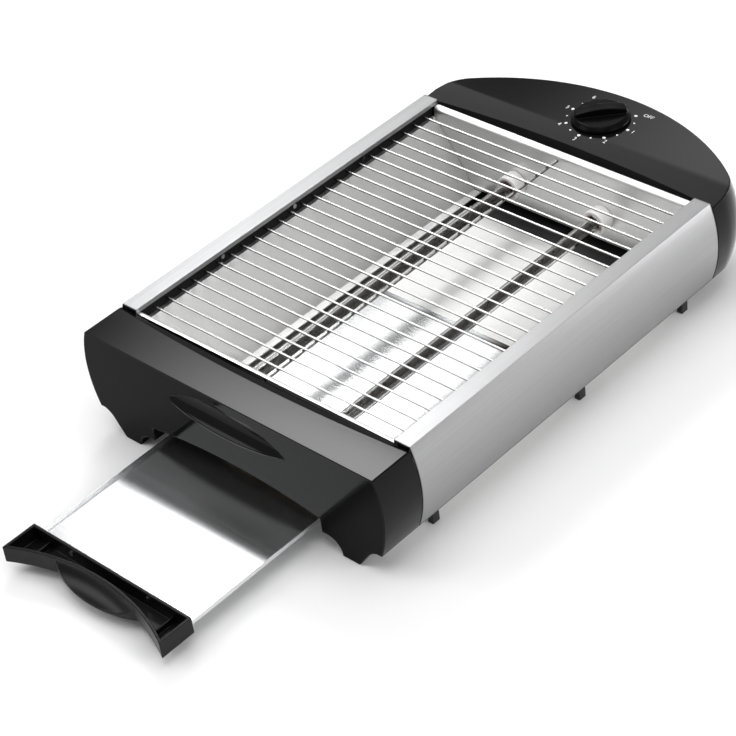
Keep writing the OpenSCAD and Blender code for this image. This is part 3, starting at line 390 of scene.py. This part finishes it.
steatite = Finish("steatite", Specular_IOR_Level=0.35)
from_heater_x = abs(steatite.along("X")) - heater_x
from_heater = (from_heater_x ** 2 + (steatite.along("Z") - heater_z) ** 2) ** 0.5
scorch_blot = steatite.ramp(steatite.noise((420, 420, 420), 3), 0.35, 0.6)
scorch = (1 - steatite.ramp(from_heater, 0.0050, 0.0076)) * scorch_blot
steatite.feed(Base_Color=steatite.mix(scorch, (0.94, 0.93, 0.91, 1), (0.16, 0.06, 0.035, 1)),
              Roughness=0.5 + 0.2 * steatite.noise((900, 900, 900)))
skin("ceramic_holders", steatite, "steatite", edge=0.0005)
skin("terminal_block", steatite, "steatite", edge=0.0006)

# Wiring out of sight: dull nickel pins on the heaters, a brass link that joins them in series,
# leads in woven sleeve, and the timer's moulded case, screwed under the timer end's top.
dull = Finish("dull_nickel", Metallic=1.0)
dull_bloom = dull.noise((350, 350, 350), 3)
dull.mottle(dull_bloom, (0.10, 0.09, 0.08, 1), (0.20, 0.19, 0.17, 1), 0.45, 0.65)
skin("terminal_pins", dull, "plated_wire")
brass = Finish("brass_strip", Metallic=1.0)
brass_stain = brass.noise((90, 90, 90), 3)
brass.mottle(brass_stain, (0.50, 0.36, 0.14, 1), (0.66, 0.50, 0.24, 1), 0.25, 0.50)
skin("series_link", brass, "brass_strip", edge=0.0002)
sleeve = Finish("woven_sleeve", Roughness=0.8)
weave = sleeve.noise((1800, 1800, 1800), 1)
sleeve.feed(Base_Color=sleeve.mix(weave, (0.22, 0.03, 0.02, 1), (0.36, 0.06, 0.04, 1)))
sleeve.bump(weave, 0.0002)
skin("lead_wires", sleeve, "lead_insulation")
case_plastic = Finish("timer_case_plastic")
case_grain = case_plastic.noise((1100, 1100, 1100))
case_plastic.mottle(case_grain, (0.040, 0.040, 0.042, 1), (0.060, 0.060, 0.063, 1), 0.45, 0.55)
skin("timer_case", case_plastic, "timer_plastic", edge=0.0006)

# End caps: black gloss mouldings that hold the panels' ends. The tray end has a finger grip in a
# dull face, two feet and a small lug that closes each panel under its flange. The timer end is
# a D in plan. The dished edges toward the grille are dull as well.
gloss = Finish("black_gloss", Specular_IOR_Level=0.035, Coat_IOR=1.18, Coat_Roughness=0.1)
gloss_scuff = gloss.noise((30, 30, 30), 4)
gloss.mottle(gloss_scuff, grey(0.003), (0.006, 0.006, 0.0063, 1), 0.08, 0.14)
gloss.bump(gloss.noise((260, 260, 260)), 0.00002)
gloss_dull = gloss.node("ShaderNodeAttribute", {"attribute_name": "dull_face"}, {})["Fac"]
gloss.feed(Coat_Weight=1 - gloss_dull)
dish_lean, dish_rise, face_square = 0.1, 0.3, 0.999
for node, inward in (("front_cap", 1), ("rear_cap", -1)):
    cap = skin(node, gloss, "black_gloss_plastic", edge=0.0006, segments=3, flat=0.001,
               fillets=False)
    dull_face = cap.data.attributes.new("dull_face", "FLOAT", "FACE")
    for face in cap.data.polygons:
        dished = inward * face.normal.y > dish_lean and face.normal.z > dish_rise
        dull_face.data[face.index].value = float(dished or face.normal.y < -face_square)

lug_middle = Vector((0.1045, -0.0944, 0.0652))
lug_size = Matrix.Diagonal((0.007, 0.0016, 0.0086, 1))
lug_taper = (0.85, 0.7, 1)
bm = bmesh.new()
bmesh.ops.create_cube(bm, size=1, matrix=Matrix.Translation(lug_middle) @ lug_size)
lug_low = [v for v in bm.verts if v.co.z < lug_middle.z]
bmesh.ops.scale(bm, verts=lug_low, vec=lug_taper, space=Matrix.Translation(-lug_middle))
bmesh.ops.bevel(bm, geom=bm.edges[:], offset=0.0003, segments=2, profile=0.5,
                affect="EDGES", material=-1)
bmesh.ops.mirror(bm, geom=bm.verts[:] + bm.edges[:] + bm.faces[:], axis="X", merge_dist=1e-6)
bmesh.ops.recalc_face_normals(bm, faces=bm.faces)
piece(bm, "flange_lugs", gloss, "black_gloss_plastic", "housing")

# Dial: the off mark, six numbers and a dot for each and between them, printed in white on the
# timer end's top. The print follows the slight fold in front of the knob.
ink = Finish("white_ink", Specular_IOR_Level=0.3)
ink_wear = ink.noise((2600, 2600, 2600), 3)
ink_whole = ink.ramp(ink_wear, 0.25, 0.45)
ink.feed(Base_Color=ink.mix(ink_whole, grey(0.45), (0.86, 0.86, 0.85, 1)),
         Roughness=0.45 + 0.1 * ink_wear)
dial_y, dial_z = 0.2076, 0.069
fold_y, fold_slope = 0.1896, 1.2 / 14
ink_thick = 0.00004
off_angle, step_angle = 41, 44
off_size, off_radius, off_shift = 0.0042, 0.0292, 4
number_size, number_radius = 0.0044, 0.0256
dot_size, small_dot_size, dot_radius = 0.0021, 0.0013, 0.0215


def dial_place(angle, radius):
    turn = radians(angle)
    return Matrix.Translation((radius * cos(turn), dial_y + radius * sin(turn),
                               dial_z + ink_thick / 2))


def dial_word(bm, words, size, angle, radius):
    curve = bpy.data.curves.new("dial_word", "FONT")
    curve.body, curve.size, curve.extrude = words, size, ink_thick / 2
    curve.align_x, curve.align_y = "CENTER", "CENTER"
    word = bpy.data.objects.new("dial_word", curve)
    scene.collection.objects.link(word)
    bpy.context.view_layer.update()
    letters = bpy.data.meshes.new_from_object(word)
    bpy.data.objects.remove(word)
    bpy.data.curves.remove(curve)
    letters.transform(dial_place(angle, radius))
    bm.from_mesh(letters)
    bpy.data.meshes.remove(letters)


def dial_dot(bm, size, angle):
    bmesh.ops.create_cone(bm, cap_ends=True, segments=20, radius1=size / 2, radius2=size / 2,
                          depth=ink_thick, matrix=dial_place(angle, dot_radius))


bm = bmesh.new()
dial_word(bm, "OFF", off_size, off_angle - off_shift, off_radius)
dial_dot(bm, dot_size, off_angle)
for number in range(1, 7):
    angle = off_angle - number * step_angle
    dial_word(bm, str(number), number_size, angle, number_radius)
    dial_dot(bm, dot_size, angle)
    dial_dot(bm, small_dot_size, angle + step_angle / 2)
bmesh.ops.bisect_plane(bm, geom=bm.verts[:] + bm.edges[:] + bm.faces[:],
                       plane_co=(0, fold_y, 0), plane_no=(0, 1, 0))
for vert in bm.verts:
    vert.co.z -= max(0, fold_y - vert.co.y) * fold_slope
bmesh.ops.remove_doubles(bm, verts=bm.verts, dist=1e-6)
bmesh.ops.recalc_face_normals(bm, faces=bm.faces)
for e in bm.edges:
    e.smooth = False
piece(bm, "dial_print", ink, "white_print", "housing")

# Timer knob: a black moulding with a satin face and a grip bar across it, pushed on the timer's
# shaft, with which it turns.
knob_black = Finish("knob_black", Specular_IOR_Level=0.05)
knob_grain = knob_black.noise((1600, 1600, 1600))
knob_black.mottle(knob_grain, grey(0.002), grey(0.004), 0.20, 0.30)
knob_black.bump(knob_grain, 0.00002)
skin("timer_knob", knob_black, "black_gloss_plastic", "timer_dial", edge=0.0006, segments=3)

# Crumb tray: polished sheet, darker along its upturned rear lip and most so to the right, with a
# black moulded handle riveted to its front flange.
tray_steel = Finish("tray_steel", Metallic=1.0)
tray_grain = tray_steel.noise((12, 700, 700), 3)
tray_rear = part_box("tray_sheet")[1].y
# Darker along the rear lip, most so toward the right.
lip_dark_band = tray_steel.ramp(tray_steel.along("Y"), tray_rear - 0.0022, tray_rear - 0.0010)
lip_dark_rightward = 0.45 + 0.55 * tray_steel.ramp(tray_steel.along("X"), 0.02, 0.05)
tray_tone = tray_steel.mix(tray_grain, (0.74, 0.75, 0.76, 1), (0.84, 0.85, 0.86, 1))
tray_lip_dark = (0.03, 0.025, 0.02, 1)
tray_steel.feed(Base_Color=tray_steel.mix(lip_dark_band * lip_dark_rightward, tray_tone, tray_lip_dark),
                Roughness=0.19 + 0.07 * tray_grain)
skin("tray_sheet", tray_steel, "polished_tray_steel", "crumb_tray", edge=0.0002)
satin = Finish("black_satin", Specular_IOR_Level=0.2)
satin_grain = satin.noise((1600, 1600, 1600))
satin.mottle(satin_grain, grey(0.003), grey(0.006), 0.24, 0.34)
satin.bump(satin_grain, 0.00002)
skin("tray_handle", satin, "black_gloss_plastic", "crumb_tray", edge=0.0005, segments=3)
